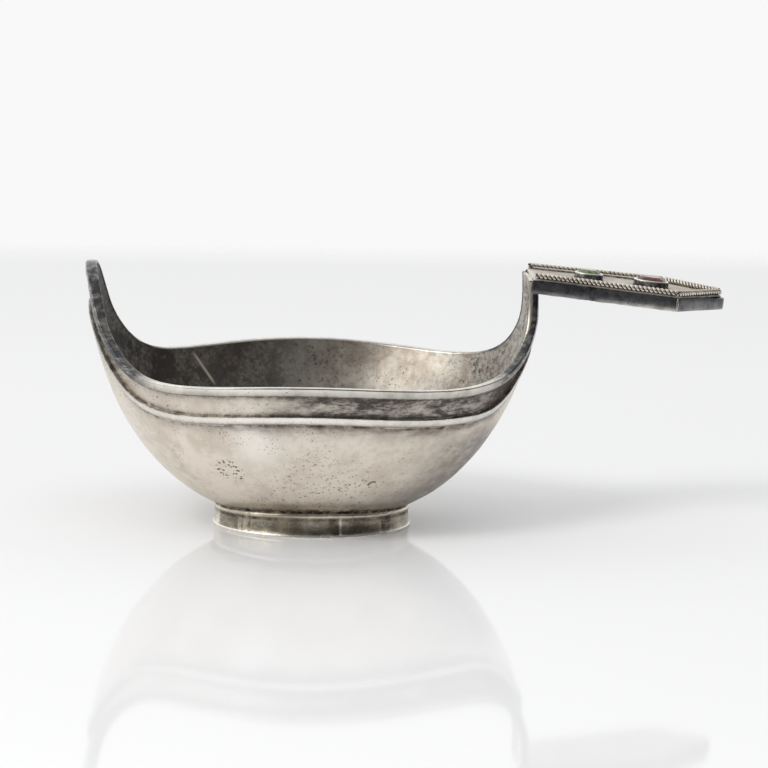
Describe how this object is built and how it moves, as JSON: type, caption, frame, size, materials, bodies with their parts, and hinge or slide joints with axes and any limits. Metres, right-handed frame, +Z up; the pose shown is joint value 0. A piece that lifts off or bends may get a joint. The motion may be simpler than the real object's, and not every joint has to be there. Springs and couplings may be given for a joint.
{
  "type": "silver kovsh",
  "caption": "Boat-shaped silver dipper cup with a raised prow, rim mouldings, a foot ring and a flat box handle set with faceted stones in a twisted-wire border.",
  "frame": {"origin": "on the table, at the centre of the foot ring's standing face", "axes": "+Z up; +X towards the handle's point, -X towards the prow; +Y towards the far side in the picture"},
  "size_m": [0.1502, 0.0916, 0.0616],
  "materials": {
    "silver_bowl": "hand-worn silver, warm tarnish in the pits and near the mouldings",
    "silver_foot": "hammered silver strip with yellowish tarnish",
    "silver_rim": "rubbed bright along the top",
    "silver_moulding": "rubbed bright",
    "silver_plate": "matt, slightly grainy, tarnished",
    "dark_strip": "dark blue-grey tarnish",
    "silver_rope": "bright on the ridges, dark in the twist",
    "silver_wire": "worn",
    "silver_bezel": "bright lip, dark wall",
    "green_stone": "pale green faceted stone",
    "red_stone": "dark red faceted stone"
  },
  "bodies": {
    "root": {"bowl": "silver_bowl", "foot_ring": "silver_foot", "rim_strip_near": "silver_rim", "rim_strip_far": "silver_rim", "lower_moulding_near": "silver_moulding", "lower_moulding_far": "silver_moulding", "plate_top": "silver_plate", "plate_bottom": "silver_plate", "side_strip_near": "dark_strip", "side_strip_far": "dark_strip", "point_strip": "dark_strip", "rope_near": "silver_rope", "rope_far": "silver_rope", "rope_point_near": "silver_rope", "rope_point_far": "silver_rope", "inner_wire_near": "silver_wire", "inner_wire_far": "silver_wire", "green_bezel": "silver_bezel", "green_stone": "green_stone", "red_bezel": "silver_bezel", "red_stone": "red_stone"}
  },
  "joints": []
}
